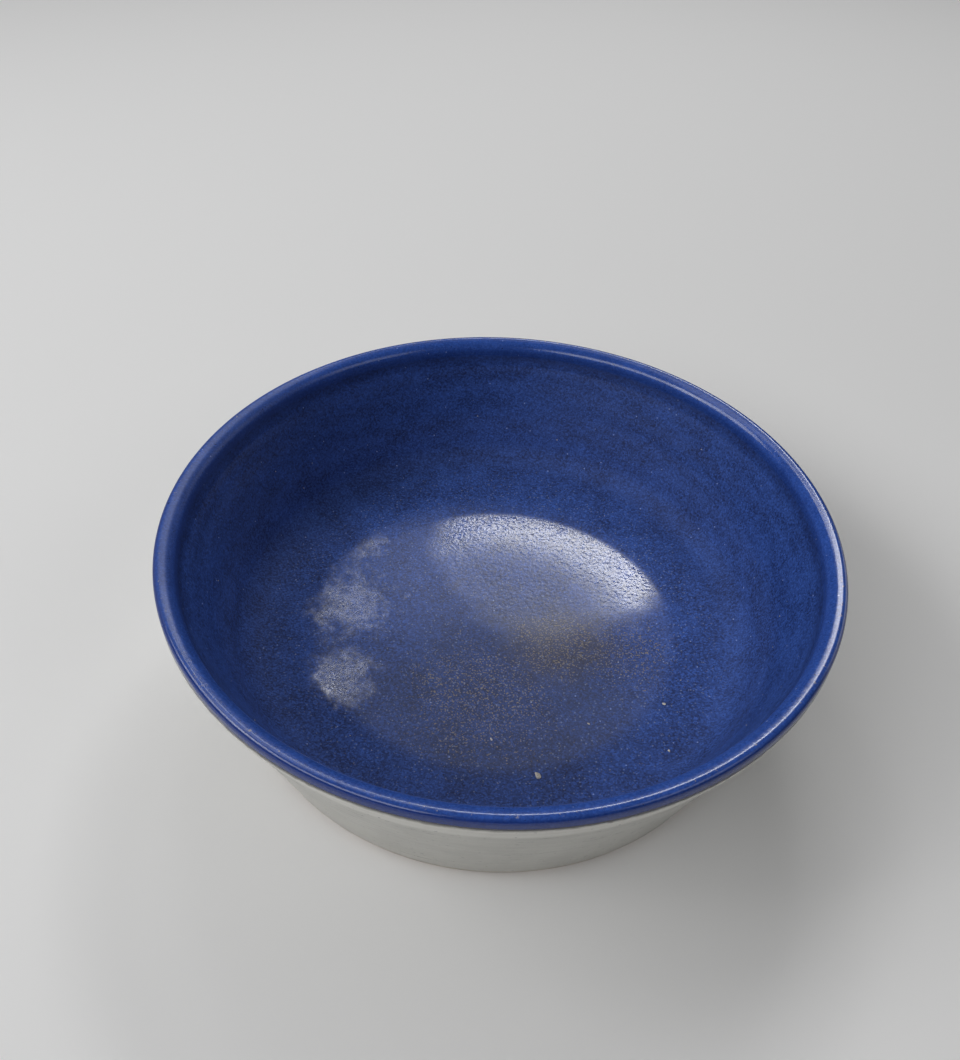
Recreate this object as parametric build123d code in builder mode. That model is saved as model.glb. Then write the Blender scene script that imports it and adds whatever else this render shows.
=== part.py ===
"""Low stoneware butter crock, thrown on a wheel and glazed in two colours.

All lengths are in millimetres. The crock stands on the plane Z = 0, centred on the Z axis.
Every section is drawn in the XZ plane, with the radius along X and the height along Z.
"""

import os
from math import asin, atan, cos, degrees, radians, sqrt, tan

from build123d import *

os.makedirs("parts", exist_ok=True)

# Overall sizes, measured over the glaze
rim_diameter = 200.0  # across the widest circle of the lip
height = 61.0  # foot to the crown of the lip
glaze = 0.5  # thickness of each fired coat

# Lip: a thick bead with its crown near the outside, sloping down to the inside
lip_width = 4.0
lip_depth = 4.9  # outer face, from the crown down to the underside
lip_slope = 16.0  # fall of the top towards the inside, in degrees
lip_overhang = 3.2  # how far the bead stands out past the collar
lip_undercut = 2.4  # fall of the underside from the outer face to the collar
lip_round = 1.2
lip_inner_round = 3.0
lip_under_round = 2.6
neck_round = 1.2

# Collar and wall
collar_height = 4.6  # upright band under the lip
collar_round = 3.0
wall_taper = 15.7  # how far the outside comes in from the collar to the foot
wall_hollow = 0.3  # how far the outside dips inside a straight taper
wall_top = 4.3  # clay thickness at the collar, measured level
wall_low = 5.8  # clay thickness where the cove begins, measured level
lip_drop = 8.0  # the inside stays steep from the crown down to here
drop_round = 8.0

# Floor: a shallow dished disc, then a steeper skirt up to the corner of the wall
floor_thickness = 10.1  # clay in the middle
disc_radius = 57.0
disc_dish = 1.7  # rise from the middle of the disc to its edge
disc_round = 50.0
skirt_rise = 3.6  # rise from the edge of the disc to the corner of the wall
cove_round = 11.1

# Foot
heel_round = 3.6
foot_width = 17.0  # from the heel's corner in to the recess
foot_recess = 2.5
recess_round = 2.0
bare_foot = 2.4  # height to which the foot is left without glaze

# Grains of kiln grit fused to the floor: radius, bearing and turn in degrees, length
grit_grains = [
    (60.3, -76.0, 25.0, 2.2),
    (46.7, -89.0, 70.0, 1.1),
    (32.0, -65.0, 40.0, 1.0),
    (49.2, -52.5, 10.0, 1.0),
    (61.2, -30.0, 55.0, 1.2),
    (71.0, -46.0, 80.0, 1.0),
]
grit_width = 0.75  # as a share of a grain's length
grit_height = 0.5  # as a share of a grain's length
grit_sunk = 0.3  # share of a grain's height that lies in the glaze

# Places on the clay, from the sizes above
rim_radius = rim_diameter / 2 - glaze
crown_z = height - glaze
slope = radians(lip_slope)
lip_top_z = crown_z + lip_round * (tan(slope) + 1 / cos(slope) - 1)
lip_inner_radius = rim_radius - lip_width
lip_inner_z = lip_top_z - lip_width * tan(slope)
lip_under_z = crown_z - lip_depth
collar_radius = rim_radius - lip_overhang
neck_z = lip_under_z - lip_undercut
collar_z = neck_z - collar_height
heel_radius = collar_radius - wall_taper
recess_radius = heel_radius - foot_width
floor_z = foot_recess + floor_thickness
disc_z = floor_z + disc_dish
corner_z = disc_z + skirt_rise
cove_z = corner_z + cove_round / 2
drop_z = crown_z - lip_drop
glaze_line_z = (crown_z + lip_under_z) / 2 - glaze


def outside_radius(z):
    """Radius of the outer wall's straight taper at a height."""
    return heel_radius + wall_taper * z / collar_z


def inside_radius(z):
    """Radius of the inner wall at a height, from the clay's thickness at its two ends."""
    thickening = (wall_low - wall_top) / (collar_z - cove_z)
    return outside_radius(z) - wall_top - (collar_z - z) * thickening


corner_radius = inside_radius(corner_z)
dish_radius = (disc_radius**2 + disc_dish**2) / (2 * disc_dish)
skirt_slope = skirt_rise / (corner_radius - disc_radius)


def floor_height(radius):
    """Height of the glazed floor at a distance from the axis."""
    if radius < disc_radius:
        return floor_z + dish_radius - sqrt((dish_radius - glaze) ** 2 - radius**2)
    return disc_z + glaze + (radius - disc_radius) * skirt_slope


def floor_tilt(radius):
    """Slope of the floor at a distance from the axis, in degrees."""
    if radius < disc_radius:
        return degrees(asin(radius / dish_radius))
    return degrees(atan(skirt_slope))


# Corners of the clay's section, before they are rounded
floor_middle = (0, floor_z)
disc_corner = (disc_radius, disc_z)
cove_corner = (corner_radius, corner_z)
drop_corner = (inside_radius(drop_z), drop_z)
lip_inner_corner = (lip_inner_radius, lip_inner_z)
lip_top_corner = (rim_radius, lip_top_z)
lip_under_corner = (rim_radius, lip_under_z)
neck_corner = (collar_radius, neck_z)
collar_corner = (collar_radius, collar_z)
wall_middle = (outside_radius(collar_z / 2) - wall_hollow, collar_z / 2)
heel_corner = (heel_radius, 0)
recess_low_corner = (recess_radius, 0)
recess_top_corner = (recess_radius, foot_recess)
recess_middle = (0, foot_recess)

corner_rounds = [
    (disc_corner, disc_round),
    (cove_corner, cove_round),
    (drop_corner, drop_round),
    (lip_inner_corner, lip_inner_round),
    (lip_top_corner, lip_round),
    (lip_under_corner, lip_under_round),
    (neck_corner, neck_round),
    (collar_corner, collar_round),
    (heel_corner, heel_round),
    (recess_top_corner, recess_round),
]

# Fired clay, with its section drawn from the axis out along the floor and back along the foot
with BuildSketch(Plane.XZ) as clay_section:
    with BuildLine():
        TangentArc(floor_middle, disc_corner, tangent=(1, 0))
        Polyline(
            disc_corner,
            cove_corner,
            drop_corner,
            lip_inner_corner,
            lip_top_corner,
            lip_under_corner,
            neck_corner,
            collar_corner,
        )
        ThreePointArc(collar_corner, wall_middle, heel_corner)
        Polyline(heel_corner, recess_low_corner, recess_top_corner, recess_middle, floor_middle)
    make_face()
    for corner, corner_round in corner_rounds:
        fillet(clay_section.vertices().sort_by_distance((*corner, 0))[0], radius=corner_round)

with BuildPart() as clay_body:
    revolve(clay_section.sketch, axis=Axis.Z)
clay_body.part.label = "clay_body"
export_step(clay_body.part, "parts/clay_body.step")

# The two coats are one even skin around the clay, parted along the middle of the wall and,
# across the skin, at the glaze line on the lip
beyond = rim_diameter
middle_floor_z = (foot_recess + floor_z) / 2
middle_heel_radius = (outside_radius(middle_floor_z) + inside_radius(middle_floor_z)) / 2
middle_foot_radius = heel_radius - foot_width / 2
middle_collar_radius = collar_radius - wall_top / 2
middle_lip_radius = rim_radius - lip_width / 2
parting = [
    (middle_heel_radius, middle_floor_z),
    (middle_collar_radius, collar_z),
    (middle_lip_radius, glaze_line_z),
    (beyond, glaze_line_z),
]


def coat_section(closing_corners):
    """Section of the skin on one side of the parting line, which the closing corners bound."""
    with BuildSketch(Plane.XZ) as section:
        add(clay_section.sketch_local)
        offset(amount=glaze)
        add(clay_section.sketch_local, mode=Mode.SUBTRACT)
        with BuildLine():
            Polyline(*parting, *closing_corners, close=True)
        make_face(mode=Mode.INTERSECT)
    return section


# Blue glaze: the whole inside, over the lip and down to its widest circle
blue_section = coat_section([(beyond, beyond), (0, beyond), (0, middle_floor_z)])
with BuildPart() as blue_glaze:
    revolve(blue_section.sketch, axis=Axis.Z)
blue_glaze.part.label = "blue_glaze"
export_step(blue_glaze.part, "parts/blue_glaze.step")

# White glaze: the outside, from the blue down to the bare foot
white_section = coat_section(
    [
        (beyond, bare_foot),
        (middle_foot_radius, bare_foot),
        (middle_foot_radius, middle_floor_z),
    ]
)
with BuildPart() as white_glaze:
    revolve(white_section.sketch, axis=Axis.Z)
white_glaze.part.label = "white_glaze"
export_step(white_glaze.part, "parts/white_glaze.step")

# Kiln grit: angular grains, each lying in the dish with its underside cut to the glaze
with BuildPart() as kiln_grit:
    for radius, bearing, turn, length in grit_grains:
        grain_height = grit_height * length
        centre_z = floor_height(radius) + grain_height * (0.5 - grit_sunk)
        place = Rot(0, 0, bearing) * Pos(radius, 0, centre_z) * Rot(0, -floor_tilt(radius), turn)
        with Locations(place):
            Wedge(
                length,
                length * grit_width,
                grain_height,
                length * 0.25,
                0,
                length * 0.6,
                grain_height * 0.7,
            )
    add(blue_glaze.part, mode=Mode.SUBTRACT)
kiln_grit.part.label = "kiln_grit"
export_step(kiln_grit.part, "parts/kiln_grit.step")

crock_volume = clay_body.part.volume + blue_glaze.part.volume + white_glaze.part.volume
print("clay and glaze:", round(crock_volume / 1000), "cubic centimetres")
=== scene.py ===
# %% [markdown]
# A low stoneware butter crock: one thrown pot, blue glaze inside and over the lip, white glaze
# outside. The imported parts are the frame. Every new piece stands for one of them and keeps to
# its place, so the first cell loads them and sets up a way to measure each one's box.

# %% Load the frame
from math import acos, cos, pi, radians, sin, sqrt, tan

import bmesh
import bpy
import numpy as np
from mathutils import Matrix, Vector


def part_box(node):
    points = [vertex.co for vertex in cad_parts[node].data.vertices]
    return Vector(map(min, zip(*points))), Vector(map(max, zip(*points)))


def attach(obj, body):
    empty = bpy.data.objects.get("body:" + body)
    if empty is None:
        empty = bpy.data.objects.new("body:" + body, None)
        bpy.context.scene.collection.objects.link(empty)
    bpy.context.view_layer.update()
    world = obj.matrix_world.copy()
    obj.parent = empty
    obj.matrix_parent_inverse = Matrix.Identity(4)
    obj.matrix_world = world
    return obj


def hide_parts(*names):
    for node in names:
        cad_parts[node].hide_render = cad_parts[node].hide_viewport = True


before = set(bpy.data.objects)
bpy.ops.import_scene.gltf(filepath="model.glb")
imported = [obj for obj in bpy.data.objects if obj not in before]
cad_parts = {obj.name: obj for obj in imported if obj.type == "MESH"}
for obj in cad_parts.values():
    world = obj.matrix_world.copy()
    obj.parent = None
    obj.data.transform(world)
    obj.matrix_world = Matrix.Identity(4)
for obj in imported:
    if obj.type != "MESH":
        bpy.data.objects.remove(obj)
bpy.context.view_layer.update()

# %% [markdown]
# The frame gives the main sizes: how wide and high the pot is, where the glazes meet, and where
# the bare foot begins. The sizes that a box can't give, such as the lip's, are the potter's own
# and are written here once, in metres.

# %% Sizes
MM = 0.001
clay_low, clay_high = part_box("clay_body")
blue_low, blue_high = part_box("blue_glaze")
white_low, white_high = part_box("white_glaze")
rim = clay_high[0]
crown = clay_high[2]
coat = blue_high[2] - clay_high[2]
floor = blue_low[2]
glaze_line = white_high[2]
bare_foot = white_low[2]

lip_width, lip_depth, lip_slope = 4.0 * MM, 4.9 * MM, radians(16)
lip_overhang, lip_undercut = 3.2 * MM, 2.4 * MM
lip_round, lip_inner_round, lip_under_round = 1.2 * MM, 3.0 * MM, 2.6 * MM
collar_height, wall_taper, wall_hollow = 4.6 * MM, 15.7 * MM, 0.3 * MM
wall_top, wall_low, lip_drop = 4.3 * MM, 5.8 * MM, 8.0 * MM
disc_radius, disc_dish, skirt_rise, cove_round = 57 * MM, 1.7 * MM, 3.6 * MM, 11.1 * MM
heel_round, foot_width, foot_recess = 3.6 * MM, 17 * MM, 2.5 * MM

lip_top = crown + lip_round * (tan(lip_slope) + 1 / cos(lip_slope) - 1)
lip_under = crown - lip_depth
neck = lip_under - lip_undercut
collar = neck - collar_height
collar_radius = rim - lip_overhang
heel_radius = collar_radius - wall_taper
recess_radius = heel_radius - foot_width
disc_height = floor + disc_dish
corner = disc_height + skirt_rise
print("rim radius", round(rim, 4), "crown", round(crown, 4), "coat", round(coat, 5), "floor", round(floor, 4))


def outside(z):
    """Radius of the clay's outer wall at a height."""
    return heel_radius + wall_taper * z / collar


def inside(z):
    """Radius of the clay's inner wall at a height."""
    cove_top = corner + cove_round / 2
    return outside(z) - wall_top - (collar - z) * (wall_low - wall_top) / (collar - cove_top)


# %% [markdown]
# The camera stands where a person holding it would, about two rim radii in front of the crock
# and nearly two above it, and is turned very slightly. Its direction is built from those few
# angles, so each can be changed by itself. The lens is given as a length on the same scale as
# the height of the picture.

# %% Camera
view_distance = 0.28
view_height_angle = 0.7430
view_roll, view_pitch, view_yaw = 0.0617, 0.0114, 0.0224
focal_length, picture_height, film_height = 938.6, 1060, 36.0

rim_centre = Vector((0, 0, 0.059))
stand = view_distance * Vector((0, -cos(view_height_angle), sin(view_height_angle)))
ahead = -stand.normalized()
right = Vector((1, 0, 0))
down = ahead.cross(right)
level = Matrix((right, down, ahead))
turned = (
    Matrix.Rotation(view_roll, 3, "Z")
    @ Matrix.Rotation(view_pitch, 3, "X")
    @ Matrix.Rotation(view_yaw, 3, "Y")
    @ level
)
axes = Matrix((turned[0], -turned[1], -turned[2])).transposed()
camera = bpy.data.objects.new("camera", bpy.data.cameras.new("camera"))
camera.data.sensor_width = film_height
camera.data.lens = focal_length * film_height / picture_height
camera.data.clip_start = 0.01
camera.matrix_world = Matrix.Translation(rim_centre + stand) @ axes.to_4x4()
bpy.context.scene.collection.objects.link(camera)
bpy.context.scene.camera = camera
print("camera at", tuple(round(v, 3) for v in camera.location), "lens", round(camera.data.lens, 1))

# %% [markdown]
# Shader maths reads best as a formula. Shade wraps one output of a node, so that `1 - mask` or
# `spots * 0.3 + cloud` adds the Math nodes that say it. Every other node comes from `add`.


# %% Shade: node trees as formulas
class Shade:
    """One value, colour or vector in a material's node tree."""

    def __init__(self, tree, socket=None):
        self.tree = tree
        self.socket = socket

    def add(self, kind, settings=None, values=None, output=0):
        """A new node with its settings made, then its sockets set or linked."""
        node = self.tree.nodes.new(kind)
        for name, setting in (settings or {}).items():
            setattr(node, name, setting)
        for name, value in (values or {}).items():
            if isinstance(name, int):
                target = node.inputs[name]
            else:
                target = next(s for s in node.inputs if name in (s.identifier, s.name))
            if isinstance(value, Shade):
                self.tree.links.new(value.socket, target)
            else:
                target.default_value = value
        if isinstance(output, tuple):
            return [Shade(self.tree, node.outputs[name]) for name in output]
        return Shade(self.tree, node.outputs[output]) if node.outputs else None

    def maths(self, operation, *values):
        """A Math node on values, or a Vector Math node where one of them is a vector."""
        vectors = any(isinstance(v, tuple) or getattr(v, "is_vector", False) for v in values)
        kind = "ShaderNodeVectorMath" if vectors else "ShaderNodeMath"
        return self.add(kind, {"operation": operation}, dict(enumerate(values)))

    @property
    def is_vector(self):
        return self.socket is not None and self.socket.type in ("VECTOR", "RGBA")

    def __add__(self, other):
        return self.maths("ADD", self, other)

    def __radd__(self, other):
        return self.maths("ADD", other, self)

    def __sub__(self, other):
        return self.maths("SUBTRACT", self, other)

    def __rsub__(self, other):
        return self.maths("SUBTRACT", other, self)

    def __mul__(self, other):
        return self.maths("MULTIPLY", self, other)

    def __rmul__(self, other):
        return self.maths("MULTIPLY", other, self)

    def most(self, other):
        return self.maths("MAXIMUM", self, other)

    def size(self):
        return self.maths("ABSOLUTE", self)

    def parts(self):
        """The three numbers of a vector or a colour."""
        return self.add("ShaderNodeSeparateXYZ", {}, {0: self}, (0, 1, 2))

    def length(self):
        return self.add("ShaderNodeVectorMath", {"operation": "LENGTH"}, {0: self}, "Value")

    def ramp(self, low, high):
        """0 up to low, 1 from high, and a smooth step between."""
        values = {"Value": self, "From Min": low, "From Max": high}
        return self.add("ShaderNodeMapRange", {"interpolation_type": "SMOOTHSTEP"}, values)

    def near(self, centre, inner, outer):
        """1 within inner of a point, 0 beyond outer."""
        values = {0: self, 1: centre}
        apart = self.add("ShaderNodeVectorMath", {"operation": "DISTANCE"}, values, "Value")
        return 1 - apart.ramp(inner, outer)

    def mix(self, first, second):
        """A colour between two, by this value."""
        values = {"Factor_Float": self, "A_Color": first, "B_Color": second}
        return self.add("ShaderNodeMix", {"data_type": "RGBA"}, values, 2)

    def mix_value(self, other, share):
        """This value, turned into another by a share."""
        return self + (other - self) * share

    def grain(self, place, size, detail=2.0, roughness=0.5, output="Fac"):
        """Noise of about that feature size, in metres, at a place."""
        values = {"Vector": place, "Scale": 1 / size, "Detail": detail, "Roughness": roughness}
        return self.add("ShaderNodeTexNoise", {}, values, output)

    def cells(self, place, size, output):
        """Cells of about that size: the distance to a cell's centre, or its own random colour."""
        return self.add("ShaderNodeTexVoronoi", {}, {"Vector": place, "Scale": 1 / size}, output)


def new_material(name):
    """An empty material with its output, and the Shade that adds nodes to it."""
    material = bpy.data.materials.new(name)
    material.use_nodes = True
    material.node_tree.nodes.clear()
    return material, Shade(material.node_tree)


def finish_material(paint, **sockets):
    """The Principled shader that ends a material. Underscores in names stand for spaces."""
    values = {name.replace("_", " "): value for name, value in sockets.items()}
    surface = paint.add("ShaderNodeBsdfPrincipled", {}, values)
    paint.add("ShaderNodeOutputMaterial", {}, {"Surface": surface})


# %% [markdown]
# A pot is drawn as half of its section and turned, as it was on the wheel. The section starts as
# a chain of corners joined by edges. A vertex bevel rounds each corner, long edges are divided
# so that the surface can carry detail, and a full spin about the axis makes the wall.


# %% Drawing and turning a section
def corner_turn(before, here, after):
    """The angle by which a line turns at a corner, and the way to its inside."""
    arriving = Vector((here[0] - before[0], here[1] - before[1])).normalized()
    leaving = Vector((after[0] - here[0], after[1] - here[1])).normalized()
    return acos(max(-1, min(1, arriving.dot(leaving)))), arriving, leaving


def outset(corners, distance):
    """The same line of corners, moved outwards by a distance, with its rounds kept in step."""
    moved = []
    for index, (radius, height, rounding) in enumerate(corners):
        before = corners[max(index - 1, 0)]
        after = corners[min(index + 1, len(corners) - 1)]
        _, arriving, leaving = corner_turn(before, corners[index], after)
        if index == 0:
            arriving = leaving
        if index == len(corners) - 1:
            leaving = arriving
        out = Vector((-arriving.y - leaving.y, arriving.x + leaving.x)).normalized()
        reach = distance / out.dot(Vector((-leaving.y, leaving.x)))
        bulges = arriving.x * leaving.y - arriving.y * leaving.x < 0
        grown = rounding + (distance if bulges else -distance) if rounding else 0
        moved.append((radius + out.x * reach, height + out.y * reach, grown))
    return moved


def draw_section(corners):
    """A chain of edges in the XZ plane through the corners, each rounded by its radius."""
    section = bmesh.new()
    points = [section.verts.new((radius, 0, height)) for radius, height, _ in corners]
    for first, second in zip(points, points[1:]):
        section.edges.new((first, second))
    for index in range(1, len(corners) - 1):
        rounding = corners[index][2]
        if rounding <= 0:
            continue
        turn, _, _ = corner_turn(*corners[index - 1 : index + 2])
        bmesh.ops.bevel(
            section,
            geom=[points[index]],
            offset=rounding * tan(turn / 2),
            offset_type="OFFSET",
            segments=max(4, round(turn / radians(9))),
            profile=0.5,
            affect="VERTICES",
            material=-1,
        )
    return section


def divide(section, longest):
    """Divides every edge so that none is longer than longest(radius, height)."""
    for edge in section.edges[:]:
        middle = (edge.verts[0].co + edge.verts[1].co) / 2
        pieces = int(edge.calc_length() / longest(middle.x, middle.z)) + 1
        if pieces > 1:
            bmesh.ops.subdivide_edges(section, edges=[edge], cuts=pieces - 1)


def turn_on_wheel(section, wedges=24, steps=16):
    """A full turn of the section about the Z axis, closed at its seams and at its poles."""
    wheel = {"cent": (0, 0, 0), "axis": (0, 0, 1)}
    share = 2 * pi / wedges
    bmesh.ops.spin(section, geom=section.verts[:] + section.edges[:], angle=share, steps=steps, **wheel)
    wedge = section.verts[:] + section.edges[:] + section.faces[:]
    rest = {"angle": share * (wedges - 1), "steps": wedges - 1, "use_duplicate": True}
    bmesh.ops.spin(section, geom=wedge, **rest, **wheel)
    bmesh.ops.remove_doubles(section, verts=section.verts[:], dist=0.000005)
    bmesh.ops.recalc_face_normals(section, faces=section.faces[:])
    open_edges = sum(not edge.is_manifold for edge in section.edges)
    print("turned:", len(section.faces), "faces,", open_edges, "open edges")
    return section


def keep_piece(mesh, name, material, stands_for, smooth_faces=True):
    """Makes an object of a finished bmesh and hangs it on the frame."""
    data = bpy.data.meshes.new(name)
    for face in mesh.faces:
        face.smooth = smooth_faces
    mesh.to_mesh(data)
    mesh.free()
    data.materials.append(material)
    piece = bpy.data.objects.new(name, data)
    bpy.context.scene.collection.objects.link(piece)
    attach(piece, "root")
    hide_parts(stands_for)
    triangles = sum(len(polygon.vertices) - 2 for polygon in data.polygons)
    print(name, "has", triangles, "triangles")
    return piece


# %% [markdown]
# Hands leave their mark. The clay was pulled up a turning wall, so the wall has faint helical
# rings, the floor a flat spiral that starts a little off the axis, and the rim is a hair out of
# round. One field of small moves gives all of that to every piece alike, so that the glazes
# still lie on the clay. It is worked out for all points at once, as numpy arrays.

# %% The potter's hand
ring_pitch, ring_height = 6.5 * MM, 0.04 * MM
spiral_pitch, spiral_height = 12.5 * MM, 0.010 * MM
spiral_centre = (8 * MM, -7 * MM)
hub_height, hub_radius = 0.12 * MM, 10 * MM
rim_lean, rim_oval = 0.15 * MM, 0.2 * MM
line_wave = 0.22 * MM
floor_wave = 0.06 * MM


def smooth(low, high, value):
    """0 below low, 1 above high, smooth between."""
    share = np.clip((value - low) / (high - low), 0, 1)
    return share * share * (3 - 2 * share)


def uneven(seed, *directions):
    """A soft irregular value between about -1 and 1, from a few waves of different lengths."""
    draw = np.random.default_rng(seed)
    total = 0
    for share in (0.45, 0.3, 0.25):
        phase = draw.uniform(0, 2 * pi)
        for values in directions:
            phase = phase + values * draw.uniform(0.6, 1.7) * draw.choice((-1, 1))
        total = total + share * np.sin(phase)
    return total


def hand_moves(points):
    """How far the potter's hand moved each of these points of the pot."""
    x, y, z = points.T
    radius = np.maximum(np.hypot(x, y), 1e-9)
    bearing = np.arctan2(y, x)
    outward = np.stack((x, y, 0 * x)) / radius
    share = z / crown
    out = rim_oval * share * np.cos(2 * bearing - 0.7)
    up = rim_lean * share * np.cos(bearing - 2.2)

    east, north = np.cos(bearing), np.sin(bearing)
    inner = radius < (outside(z) + inside(z)) / 2
    on_wall = smooth(corner + 2 * MM, corner + 12 * MM, z) * (1 - smooth(neck - 1 * MM, neck, z))
    pitch = np.where(inner, ring_pitch, 0.7 * ring_pitch)
    turns = z / pitch + bearing / (2 * pi) + 0.5 * uneven(1, 2 * east, 2 * north, z / (9 * MM))
    strength = 0.55 + 0.45 * uneven(2, 3 * east, 3 * north, z / (7 * MM))
    out = out + on_wall * ring_height * strength * np.sin(2 * pi * turns)

    on_floor = (z > foot_recess + 4 * MM) & (radius < disc_radius + 16 * MM)
    away_x, away_y = x - spiral_centre[0], y - spiral_centre[1]
    away = np.hypot(away_x, away_y)
    turns = away / spiral_pitch - np.arctan2(away_y, away_x) / (2 * pi)
    turns = turns + 0.3 * uneven(3, x / (25 * MM), y / (25 * MM))
    fade = smooth(3 * MM, 16 * MM, away) * (1 - smooth(disc_radius, disc_radius + 14 * MM, radius))
    floor_up = spiral_height * fade * np.sin(2 * pi * turns)
    floor_up = floor_up + hub_height * np.exp(-((away / hub_radius) ** 2))
    floor_up = floor_up + floor_wave * uneven(4, x / (10 * MM), y / (10 * MM))
    up = up + on_floor * floor_up

    near_line = np.exp(-(((z - glaze_line) / (1.6 * MM)) ** 2)) * smooth(rim - 1 * MM, rim, radius)
    up = up + near_line * line_wave * uneven(5, 5 * east, 5 * north)
    return (outward * out).T + np.stack((0 * z, 0 * z, up), axis=1)


def shape_by_hand(piece):
    """Moves every point of a finished piece as the potter's hand did."""
    flat = np.empty(len(piece.data.vertices) * 3)
    piece.data.vertices.foreach_get("co", flat)
    points = flat.reshape(-1, 3)
    moves = hand_moves(points)
    piece.data.vertices.foreach_set("co", (points + moves).ravel())
    piece.data.update()
    print(piece.name, "moved by up to", round(np.abs(moves).max() / MM, 2), "mm")


# %% [markdown]
# The fired clay's section runs from the middle of the floor, up the wall, over the lip, down the
# outside and back along the foot. The coats are drawn on the same corners, moved out by the
# thickness of the glaze.

# %% Corners of the pot
up_the_inside = [
    (0, floor, 0),
    (disc_radius, disc_height, 50 * MM),
    (inside(corner), corner, cove_round),
    (inside(crown - lip_drop), crown - lip_drop, 8 * MM),
    (rim - lip_width, lip_top - lip_width * tan(lip_slope), lip_inner_round),
    (rim, lip_top, lip_round),
    (rim, glaze_line, 0),
]
down_the_outside = [
    (rim, glaze_line, 0),
    (rim, lip_under, lip_under_round * 0.9),
    (collar_radius, neck, 1.2 * MM),
    (collar_radius, collar, 3 * MM),
    (outside(collar / 2) - 2 * wall_hollow, collar / 2, 300 * MM),
    (heel_radius, 0, heel_round),
]
under_the_foot = [
    (recess_radius, 0, 0.6 * MM),
    (recess_radius - 0.5 * MM, foot_recess, 2 * MM),
    (0, foot_recess, 0),
]


# %% Clay body
def clay_spacing(radius, height):
    return 0.9 * MM if height < 6 * MM else 3 * MM


section = draw_section(up_the_inside + down_the_outside[1:] + under_the_foot)
divide(section, clay_spacing)
clay = turn_on_wheel(section)
print("clay faces", len(clay.faces))


# %% [markdown]
# The blue coat is a layer of glass over the inside and the lip, poured in and swilled round, and
# it ends on the outer face of the lip. It is drawn as the clay's corners moved out by its
# thickness, and closed along the clay. Only its visible side gets fine steps, because the side
# that lies on the clay is never seen.


# %% Blue glaze
def coat_path(path, thickness):
    """The visible side of a coat, and the way back along the clay."""
    visible = outset(path, thickness)
    if path[0][0] == 0:
        visible[0] = (0, visible[0][1], 0)
    return visible, path[::-1]


def draw_coat(path, thickness, spacing):
    """A coat's section, with fine steps where it shows and long ones where it lies on clay."""
    visible, hidden = coat_path(path, thickness)
    section = draw_section(visible)
    divide(section, spacing)
    back = draw_section(hidden)
    divide(back, lambda radius, height: 4 * MM)
    data = bpy.data.meshes.new("hidden side")
    back.to_mesh(data)
    back.free()
    section.from_mesh(data)
    bpy.data.meshes.remove(data)
    return section


def join_ends(section):
    """Joins the open ends of a section that lie off the axis and nearest to each other."""
    ends = [v for v in section.verts if len(v.link_edges) == 1 and v.co.x > 1 * MM]
    while ends:
        first = ends.pop()
        near = min(ends, key=lambda v: (v.co - first.co).length)
        ends.remove(near)
        section.edges.new((first, near))


def blue_spacing(radius, height):
    return 0.5 * MM if height > crown - 7 * MM else 0.85 * MM


section = draw_coat(up_the_inside, coat, blue_spacing)
join_ends(section)
blue_mesh = turn_on_wheel(section)

# %% [markdown]
# The white coat was put on by dipping, from the edge of the blue down. A potter wipes the glaze
# off the foot, so its section is cut off level a little above the table before it is turned.

# %% White glaze
section = draw_coat(down_the_outside, coat, lambda radius, height: 0.5 * MM)
bmesh.ops.bisect_plane(
    section,
    geom=section.verts[:] + section.edges[:],
    plane_co=(0, 0, bare_foot),
    plane_no=(0, 0, -1),
    clear_outer=True,
)
join_ends(section)
white_mesh = turn_on_wheel(section)

# %% [markdown]
# Grit fell on the wet glaze in the kiln and was fused there. Each grain is a chip with flat
# faces, so it starts as a ball of few faces and is cut by a few planes. The large ones lie where
# the frame has its grains. Finer ones are scattered over the floor and the wall by seeded draws.

# %% Kiln grit
def floor_height(radius):
    """Height of the glazed floor at a distance from the axis."""
    dished = floor + disc_dish * (radius / disc_radius) ** 2
    skirt = disc_height + (radius - disc_radius) * skirt_rise / (inside(corner) - disc_radius)
    return np.where(radius < disc_radius, dished, skirt) + coat


def wall_radius(height):
    """Radius of the glazed inner wall at a height, between the cove and the drop of the lip."""
    return inside(height) - coat


def chip(grains, spot, tilt, size, seed):
    """Adds one angular grain: a ball of few faces, cut by planes, turned and set in its place."""
    draw = np.random.default_rng(seed)
    grain = bmesh.new()
    bmesh.ops.create_icosphere(grain, subdivisions=2, radius=size / 2)
    for _ in range(6):
        way = Vector(draw.normal(size=3)).normalized()
        everything = grain.verts[:] + grain.edges[:] + grain.faces[:]
        depth = way * size * draw.uniform(0.22, 0.34)
        bmesh.ops.bisect_plane(grain, geom=everything, plane_co=depth, plane_no=way, clear_outer=True)
        bmesh.ops.holes_fill(grain, edges=[e for e in grain.edges if e.is_boundary], sides=0)
    bmesh.ops.remove_doubles(grain, verts=grain.verts[:], dist=size / 50)
    bmesh.ops.recalc_face_normals(grain, faces=grain.faces[:])
    turn = Matrix.Rotation(draw.uniform(0, 2 * pi), 4, "Z") @ Matrix.Diagonal((1.25, 0.85, 0.6, 1))
    place = Matrix.Translation(spot) @ tilt.to_4x4() @ turn
    bmesh.ops.transform(grain, matrix=place, verts=grain.verts[:])
    data = bpy.data.meshes.new("grain")
    grain.to_mesh(data)
    grain.free()
    grains.from_mesh(data)
    bpy.data.meshes.remove(data)


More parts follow.
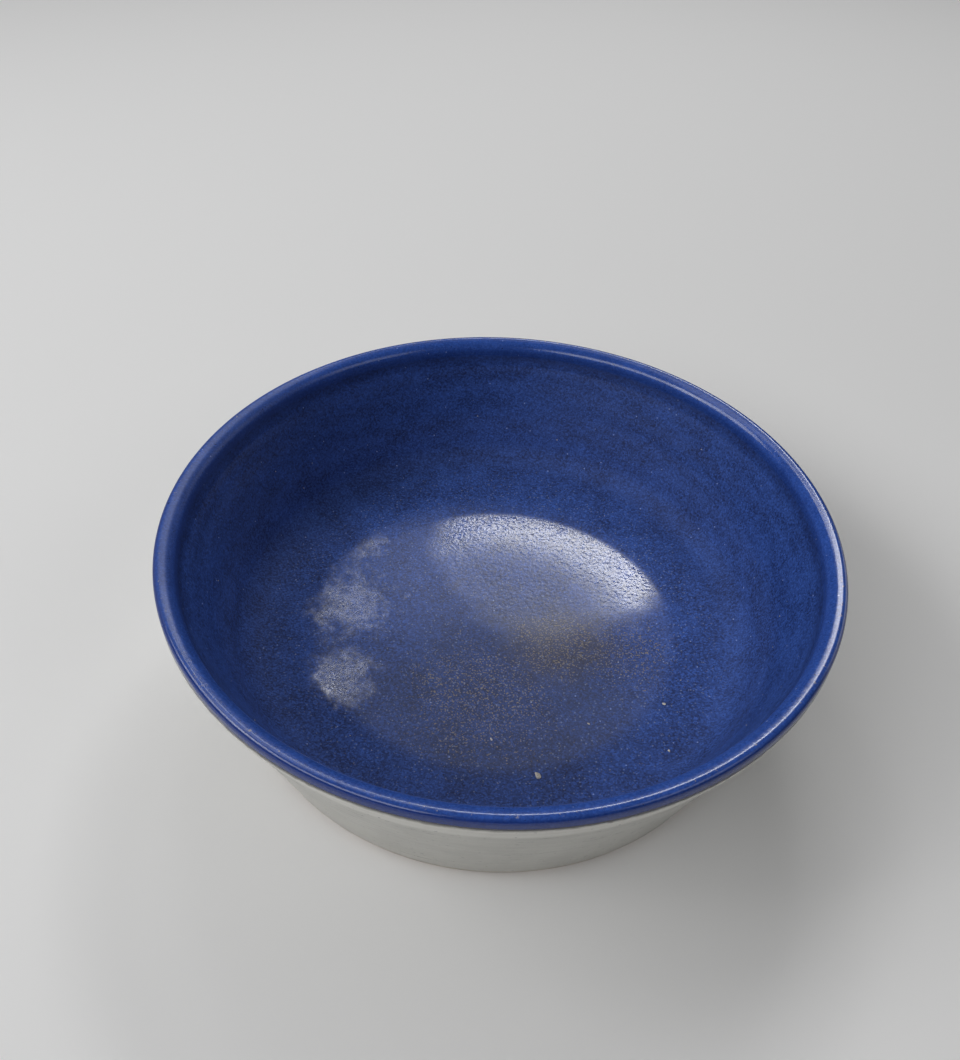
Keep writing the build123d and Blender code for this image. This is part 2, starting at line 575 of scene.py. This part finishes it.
FLAT = Matrix.Identity(3)
large_grains = (
    (14.6, -58.5, 2.2),
    (0.9, -46.7, 1.1),
    (13.4, -29.0, 0.9),
    (29.9, -39.0, 0.9),
    (53.0, -30.6, 1.1),
    (52.6, -48.5, 0.9),
)
small_grains = (
    (17.8, -21.7, 0.6),
    (16.0, 6.2, 0.55),
    (15.7, 0.9, 0.5),
    (7, -8, 0.5),
    (-6, 31, 0.6),
)
floor_grains, wall_grains, scatter_radius = 44, 16, 68 * MM
grit = bmesh.new()
for number, (x, y, size) in enumerate(large_grains + small_grains):
    height = float(floor_height(np.hypot(x, y) * MM)) + 0.12 * size * MM
    chip(grit, Vector((x * MM, y * MM, height)), FLAT, size * MM, 100 + number)
scatter = np.random.default_rng(7)
for number in range(floor_grains):
    far = scatter_radius * sqrt(scatter.uniform(0, 1))
    bearing = scatter.uniform(0, 2 * pi)
    size = scatter.uniform(0.22, 0.45) * MM
    spot = Vector((far * cos(bearing), far * sin(bearing), float(floor_height(far)) + 0.1 * size))
    chip(grit, spot, FLAT, size, 200 + number)
for number in range(wall_grains):
    height = scatter.uniform(corner + 9 * MM, crown - 12 * MM)
    bearing = scatter.uniform(0, 2 * pi)
    size = scatter.uniform(0.25, 0.5) * MM
    upright = Matrix.Rotation(bearing, 3, "Z") @ Matrix.Rotation(-pi / 2, 3, "Y")
    far = float(wall_radius(height)) - 0.1 * size
    spot = Vector((far * cos(bearing), far * sin(bearing), height))
    chip(grit, spot, upright, size, 300 + number)
print("grit faces", len(grit.faces))

# %% [markdown]
# The blue is a thin glass over speckled clay. Close up it's a mottle of lighter and darker blue
# at the scale of the grains, with slow clouds where it ran thicker. Random cells give the grains
# and noise gives the clouds. The next four cells make this one finish.

# %% Blue glaze colour
blue_material, paint = new_material("blue_glaze")
place = paint.add("ShaderNodeTexCoord", {}, {}, "Object")
_, _, z = place.parts()
from_axis = (place * (1, 1, 0)).length()
on_floor = 1 - z.ramp(disc_height + 0.6 * MM, disc_height + 5 * MM)
on_lip = z.ramp(crown - 5 * MM, crown - 3.5 * MM)

peel = paint.grain(place, 1.15 * MM, 1.5, 0.5)
coarse_peel = paint.grain(place, 3.4 * MM, 1.0)
fine = paint.grain(place, 0.42 * MM, 2.0, 0.6)
soft = paint.grain(place, 0.8 * MM, 2.0, 0.6).ramp(0.30, 0.70)
grains = paint.cells(place, 0.5 * MM, "Color").parts()[0]
clouds = paint.grain(place * (1, 1, 2.2), 13 * MM, 3.0, 0.6).ramp(0.32, 0.70)
tone = grains * grains * (0.42 + on_floor * 0.2) + soft * 0.33 + clouds * 0.22
deep = (0.005, 0.015, 0.080, 1)
bright = (0.048, 0.130, 0.510, 1)
blue = tone.mix(deep, bright)
# Painted light: the lip is painted a lighter blue, for the light that its upturned top catches.
blue = (on_lip * 0.38).mix(blue, (0.040, 0.115, 0.520, 1))
lip_grains = paint.grain(place, 0.7 * MM, 3.0, 0.7).ramp(0.52, 0.68) * on_lip
blue = (lip_grains * 0.4).mix(blue, (0.085, 0.160, 0.500, 1))
pits = paint.grain(place, 0.8 * MM, 1.0, 0.5).ramp(0.70, 0.78)
blue = pits.mix(blue, (0.008, 0.018, 0.075, 1))

# %% [markdown]
# On the floor the colour changes from place to place: a brown worn patch, ochre specks where the
# glaze is thin over the bumps, and a greyer, darker tone towards the front. The places were set
# one by one. Noise bends the space that they are measured in, so that their outlines aren't round.

# %% Wear, dust and specks on the floor
bend = paint.grain(place, 12 * MM, 2.0, 0.5, output="Color") - (0.5, 0.5, 0.5)
warped = place + bend * (0.012, 0.012, 0.012)
worn_patch = warped.near((20 * MM, -8 * MM, floor), 6 * MM, 24 * MM)
front_specks = warped.near((-4 * MM, -31 * MM, floor), 10 * MM, 36 * MM)
side_specks = warped.near((41 * MM, -10 * MM, floor), 6 * MM, 24 * MM)
worn = worn_patch.most(front_specks * 0.8).most(side_specks * 0.85) * on_floor
# Greyer and darker towards the front of the floor.
darker_front = warped.near((6 * MM, -30 * MM, floor), 22 * MM, 56 * MM) * on_floor

speck_grain = paint.grain(place, 0.55 * MM, 1.5, 0.5)
ochre_specks = (speck_grain + worn * 0.155).ramp(0.70, 0.77) * on_floor
blue = (worn_patch * on_floor * 0.42).mix(blue, (0.105, 0.090, 0.074, 1))
blue = (darker_front * 0.42).mix(blue, (0.030, 0.034, 0.050, 1))
blue = (ochre_specks * 0.8).mix(blue, (0.27, 0.23, 0.18, 1))

chance = paint.cells(place, 3.4 * MM, "Color").parts()[0].ramp(0.55, 0.6)
pins = (1 - paint.cells(place, 3.4 * MM, "Distance").ramp(0.05, 0.09)) * chance
blue = (pins * 0.75).mix(blue, (0.30, 0.40, 0.78, 1))
# Light specks on the floor: partly real specks of dust, partly painted glints where the dimples catch the
# light.
speck_glint_chance = paint.cells(place, 1.25 * MM, "Color").parts()[1].ramp(0.52, 0.60)
dust = (1 - paint.cells(place, 1.25 * MM, "Distance").ramp(0.14, 0.27)) * speck_glint_chance * on_floor
blue = (dust * 0.7).mix(blue, (0.20, 0.25, 0.40, 1))

# %% [markdown]
# The lip is the part that is knocked and wiped, so its crown has lost glaze in small chips. Its
# outer face and a strip inside just below it are darkened with painted shade, and the glaze is
# brown where it meets the white.

# %% Blue glaze on the lip
crown_radius = rim - lip_round
crown_line = 1 - (from_axis - crown_radius).size().ramp(0.15 * MM, 0.7 * MM)
chipped = paint.grain(place, 1.8 * MM, 4.0, 0.7).ramp(0.60, 0.68)
wear = crown_line * on_lip * chipped
blue = (wear * 0.75).mix(blue, (0.42, 0.38, 0.33, 1))
lip_line = 1 - z.ramp(glaze_line + 0.1 * MM, glaze_line + 0.9 * MM)
at_line = lip_line * from_axis.ramp(rim - 1 * MM, rim)
# Painted shade: the outer face of the lip, which faces outward and down, is darkened.
shaded_outer_face = from_axis.ramp(rim - 0.9 * MM, rim + 0.3 * MM) * on_lip
blue = (shaded_outer_face * 0.72).mix(blue, (0.006, 0.020, 0.150, 1))
# Painted shadow: a dark strip on the inner wall, under the overhang of the lip.
painted_shadow_under_lip = z.ramp(crown - 9 * MM, crown - 4.5 * MM) * (1 - z.ramp(crown - 3.4 * MM, crown - 1.6 * MM))
painted_shadow_under_lip = painted_shadow_under_lip * (1 - shaded_outer_face) * (1 - from_axis.ramp(rim - 5 * MM, rim - 3 * MM))
blue = (painted_shadow_under_lip * 0.45).mix(blue, (0.004, 0.012, 0.070, 1))
blue = (at_line * 0.8).mix(blue, (0.012, 0.013, 0.030, 1))

# %% [markdown]
# The surface has the dimples of orange peel, strong on the floor and faint on the wall. The
# gloss is a stand-in, not a property of the real glaze, which looks evenly glossy: it is laid
# out in a crescent, pools and a sheen, so that from the main camera the floor seems to
# reflect what it should. The dull side of the lip and the rough cove hide reflections in the
# same way. From above or under other lamps these zones show as a dark crescent and blotches. A
# scene of its own should give the blue one even roughness instead.

# %% Gloss and dimples, laid out for the main camera
disc_centre = (2 * MM, -6 * MM, floor)
disc_border = 1 - place.near(disc_centre, 30 * MM, 52 * MM)
crescent = warped.near((18 * MM, 36 * MM, floor), 34 * MM, 52 * MM)
crescent = crescent * (0.55 + disc_border * 0.45)
ragged = (paint.grain(place, 5 * MM, 4.0, 0.75) - 0.5) * 1.8
pools = warped.near((-52 * MM, 32 * MM, floor), 2 * MM, 24 * MM)
pools = pools.most(warped.near((-49 * MM, 2 * MM, floor), 2 * MM, 26 * MM))
pools = pools.most(warped.near((-47 * MM, -28 * MM, floor), 2 * MM, 22 * MM))
pools = pools.most(warped.near((-50 * MM, 8 * MM, floor), 8 * MM, 46 * MM) * 0.55)
pools = (pools + ragged).ramp(0.26, 1.05)
sheen = warped.near((-22 * MM, 22 * MM, floor), 6 * MM, 44 * MM)
glassy = crescent.most(sheen * 0.32) * place.near(disc_centre, 56.5 * MM, 59.5 * MM)
glassy = glassy.most(pools * warped.near(disc_centre, 58 * MM, 67 * MM) * 0.86)
dull_side = place.near((-96 * MM, 14 * MM, crown), 36 * MM, 84 * MM)
glassy = glassy.most(on_lip * (0.8 - dull_side * 0.72))
in_cove = from_axis.ramp(55 * MM, 62 * MM) * (1 - z.ramp(floor + 14 * MM, floor + 26 * MM))
wall_roughness, glass_roughness = 0.48, 0.10
satin = wall_roughness + on_floor * 0.08 + in_cove * 0.28
roughness = satin.mix_value(glass_roughness, glassy) + worn * 0.05 + wear * 0.2
rough_floor = on_floor * (1 - glassy)
dimples = peel * (0.25 + on_floor * 0.75) + fine * (0.12 + rough_floor * 0.7)
dimples = dimples + coarse_peel * on_floor * 0.6
bump = paint.add("ShaderNodeBump", {}, {"Strength": 0.8, "Distance": 0.12 * MM, "Height": dimples})
finish_material(paint, Base_Color=blue, Roughness=roughness, IOR=1.5, Normal=bump)
print("blue glaze:", len(paint.tree.nodes), "nodes")

# %% [markdown]
# The outside wears a greyish white glaze, thin enough that the wheel's rings and the iron in the
# clay show in it: faint level streaks, a few dark flecks drawn out sideways by the turning, and
# a brown edge where it meets the blue. Noise on a squeezed height gives the level streaks.

# %% White glaze finish
white_material, paint = new_material("white_glaze")
place = paint.add("ShaderNodeTexCoord", {}, {}, "Object")
_, _, z = place.parts()
streaks = paint.grain(place * (0.12, 0.12, 2.2), 2.6 * MM, 4.0, 0.65).ramp(0.28, 0.72)
clouds = paint.grain(place, 11 * MM, 3.0, 0.55).ramp(0.3, 0.7)
grains = paint.grain(place, 0.5 * MM, 2.0, 0.7)
tone = streaks * 0.38 + clouds * 0.28 + grains * 0.34
white = tone.mix((0.37, 0.366, 0.338, 1), (0.60, 0.595, 0.55, 1))
# Painted light: the upright collar just under the lip is painted whiter, for the light it catches more than
# the wall below.
collar_painted_light = z.ramp(collar - 1.5 * MM, collar + 0.3 * MM)
white = (collar_painted_light * 0.6).mix(white, (0.80, 0.79, 0.75, 1))
flecks = paint.grain(place * (0.6, 0.6, 1.8), 1.5 * MM, 2.0, 0.6).ramp(0.675, 0.73)
white = (flecks * 0.7).mix(white, (0.10, 0.10, 0.14, 1))
iron = paint.grain(place * (0.8, 0.8, 1.3), 0.9 * MM, 1.0, 0.5).ramp(0.74, 0.78)
white = (iron * 0.7).mix(white, (0.16, 0.11, 0.07, 1))
ragged = z + (paint.grain(place, 2.5 * MM, 3.0) - 0.5) * (1.3 * MM)
stain = ragged.ramp(glaze_line - 1.3 * MM, glaze_line - 0.1 * MM)
white = (stain * 0.8).mix(white, (0.085, 0.075, 0.075, 1))
thin_foot = 1 - z.ramp(bare_foot + 0.2 * MM, bare_foot + 2.2 * MM)
white = (thin_foot * 0.6).mix(white, (0.34, 0.27, 0.19, 1))
roughness = 0.27 + streaks * 0.1 + flecks * 0.2
lumps = paint.grain(place, 1.8 * MM, 2.0) * 0.6 + streaks * 0.35 + grains * 0.15
bump = paint.add("ShaderNodeBump", {}, {"Strength": 0.5, "Distance": 0.06 * MM, "Height": lumps})
finish_material(paint, Base_Color=white, Roughness=roughness, IOR=1.5, Normal=bump)
print("white glaze:", len(paint.tree.nodes), "nodes")

# %% [markdown]
# The foot was left bare so that it wouldn't stick to the shelf. It is buff stoneware, turned
# with a blunt tool: close rings on its face, open sandy grain, and darker iron spots.

# %% Bare clay finish
clay_material, paint = new_material("clay")
place = paint.add("ShaderNodeTexCoord", {}, {}, "Object")
from_axis = (place * (1, 1, 0)).length()
sand = paint.grain(place, 0.55 * MM, 3.0, 0.7)
clouds = paint.grain(place, 16 * MM, 3.0).ramp(0.3, 0.7)
wander = paint.grain(place, 20 * MM, 1.0) * 2.0
rings = ((from_axis * (2 * pi / (0.9 * MM))) + wander * 4).maths("SINE") * 0.5 + 0.5
tone = sand * 0.5 + clouds * 0.3 + rings * 0.2
buff = tone.mix((0.30, 0.215, 0.135, 1), (0.56, 0.45, 0.32, 1))
iron = paint.grain(place, 1.1 * MM, 2.0, 0.6).ramp(0.68, 0.76)
buff = (iron * 0.7).mix(buff, (0.10, 0.055, 0.03, 1))
height = sand * 0.6 + rings * 0.5
bump = paint.add("ShaderNodeBump", {}, {"Strength": 0.8, "Distance": 0.12 * MM, "Height": height})
finish_material(paint, Base_Color=buff, Roughness=0.78 + sand * 0.15, IOR=1.45, Normal=bump)
print("clay:", len(paint.tree.nodes), "nodes")

# %% [markdown]
# The grit is crumbs of fired clay and sand: pale, dull, and dusty at the scale of half a
# millimetre. One noise drives its colour, roughness and bumps, since all three are the dust.

# %% Grit finish
grit_material, paint = new_material("grit")
place = paint.add("ShaderNodeTexCoord", {}, {}, "Object")
dust = paint.grain(place, 0.5 * MM, 3.0, 0.7).ramp(0.3, 0.7)
pale = dust.mix((0.42, 0.37, 0.29, 1), (0.78, 0.75, 0.68, 1))
bump = paint.add("ShaderNodeBump", {}, {"Strength": 0.6, "Distance": 0.05 * MM, "Height": dust})
finish_material(paint, Base_Color=pale, Roughness=0.55 + dust * 0.2, IOR=1.5, Normal=bump)
print("grit:", len(paint.tree.nodes), "nodes")

# %% [markdown]
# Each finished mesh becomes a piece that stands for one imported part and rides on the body. The
# hand's moves are applied last and are the same field for all of them, so that the coats stay on
# the clay and the grains stay on the glaze.

# %% Pieces on the frame
clay_piece = keep_piece(clay, "clay_pot", clay_material, "clay_body")
blue_piece = keep_piece(blue_mesh, "blue_coat", blue_material, "blue_glaze")
white_piece = keep_piece(white_mesh, "white_coat", white_material, "white_glaze")
for piece in (clay_piece, blue_piece, white_piece):
    shape_by_hand(piece)
grit_piece = keep_piece(grit, "kiln_grains", grit_material, "kiln_grit", smooth_faces=False)
shape_by_hand(grit_piece)

# %% [markdown]
# The crock stands on a plain pale table. The room is almost dark and the light comes from soft
# lamps. A weak row behind the crock gives the bright reflection on its floor, and large ones at
# the left and the front give most of the shading. Their places were fitted first and then
# changed.

# %% Floor and lights
table_half_width, table_white, sky_strength, lamp_distance = 3.0, 0.86, 0.02, 1.5
table = bmesh.new()
bmesh.ops.create_grid(table, x_segments=1, y_segments=1, size=table_half_width)
table_data = bpy.data.meshes.new("table")
table.to_mesh(table_data)
table.free()
table_material, paint = new_material("table")
finish_material(paint, Base_Color=(table_white, table_white, table_white, 1), Roughness=0.9)
table_data.materials.append(table_material)
table_piece = bpy.data.objects.new("table", table_data)
bpy.context.scene.collection.objects.link(table_piece)

world = bpy.data.worlds.new("sky")
world.use_nodes = True
sky = world.node_tree.nodes["Background"]
sky.inputs["Color"].default_value = (1, 1, 1, 1)
sky.inputs["Strength"].default_value = sky_strength
bpy.context.scene.world = world
bpy.context.scene.view_settings.view_transform = "Standard"


def softbox(name, bearing, height_angle, wide, high, power):
    """A lamp facing the crock. It stands at a bearing from the far side, clockwise from above,
    and at an angle above the table. It is so many degrees wide and high, and power is in watts."""
    data = bpy.data.lights.new(name, "AREA")
    data.shape = "RECTANGLE"
    data.size = 2 * lamp_distance * tan(radians(wide / 2))
    data.size_y = 2 * lamp_distance * tan(radians(high / 2))
    data.energy = power
    turn, rise = radians(bearing), radians(height_angle)
    back = Vector((sin(turn) * cos(rise), cos(turn) * cos(rise), sin(rise)))
    side = Vector((cos(turn), -sin(turn), 0))
    facing = Matrix((side, back.cross(side), back)).transposed()
    lamp = bpy.data.objects.new(name, data)
    lamp.matrix_world = Matrix.Translation(back * lamp_distance) @ facing.to_4x4()
    bpy.context.scene.collection.objects.link(lamp)


softbox("behind", 7, 44.5, 16, 7, 3.2)
softbox("behind_left", -16, 49, 10, 8, 0.9)
softbox("behind_right", 17, 48, 10, 7, 0.6)
softbox("left_front", 226, 40, 50, 20, 8.5)
softbox("left", 268, 40, 30, 20, 5.6)
softbox("left_back", 315, 62, 40, 16, 2.2)
softbox("right_front", 120, 40, 30, 20, 1.6)
softbox("right_low", 62, 18, 30, 20, 2.0)
